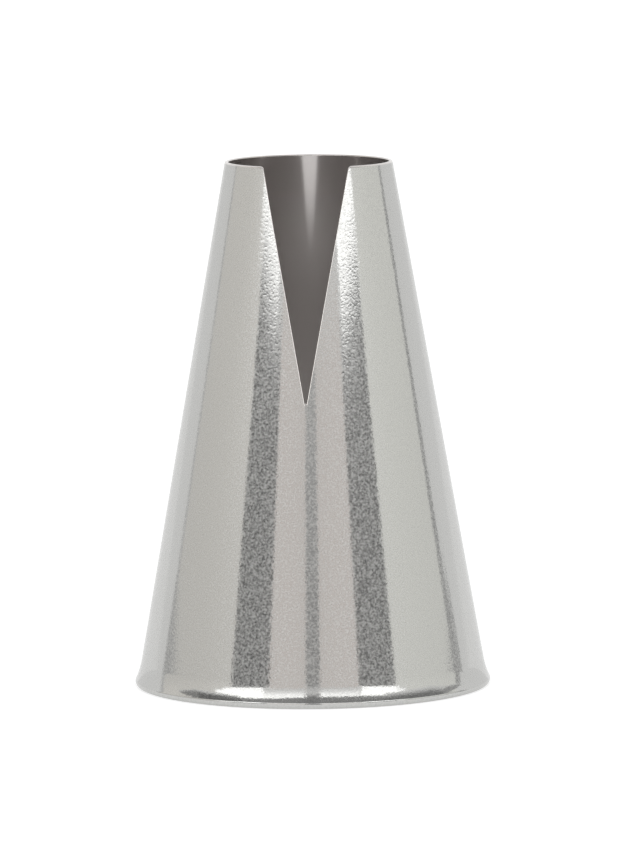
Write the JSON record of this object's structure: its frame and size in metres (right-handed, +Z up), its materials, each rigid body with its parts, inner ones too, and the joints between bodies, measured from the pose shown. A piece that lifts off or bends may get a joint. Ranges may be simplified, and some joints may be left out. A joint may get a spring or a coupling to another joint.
{
  "type": "piping nozzle",
  "caption": "Tapered stainless piping nozzle, open at both ends, with a V-shaped notch cut down from the tip and a flared, beaded edge round the base.",
  "frame": {"origin": "centre of the base, on the surface that the nozzle stands on", "axes": "+Z up the cone's axis towards the tip, the notch faces -Y, the welded seam is at +Y"},
  "size_m": [0.0338, 0.0338, 0.05],
  "materials": {
    "polished_stainless": "tumbled and polished stainless steel sheet with a fine pebbled grain, duller inside",
    "weld_stainless": "dressed and polished stainless steel weld, flush with the sheet"
  },
  "bodies": {
    "root": {"cone_shell": "polished_stainless", "seam_weld": "weld_stainless"}
  },
  "joints": []
}
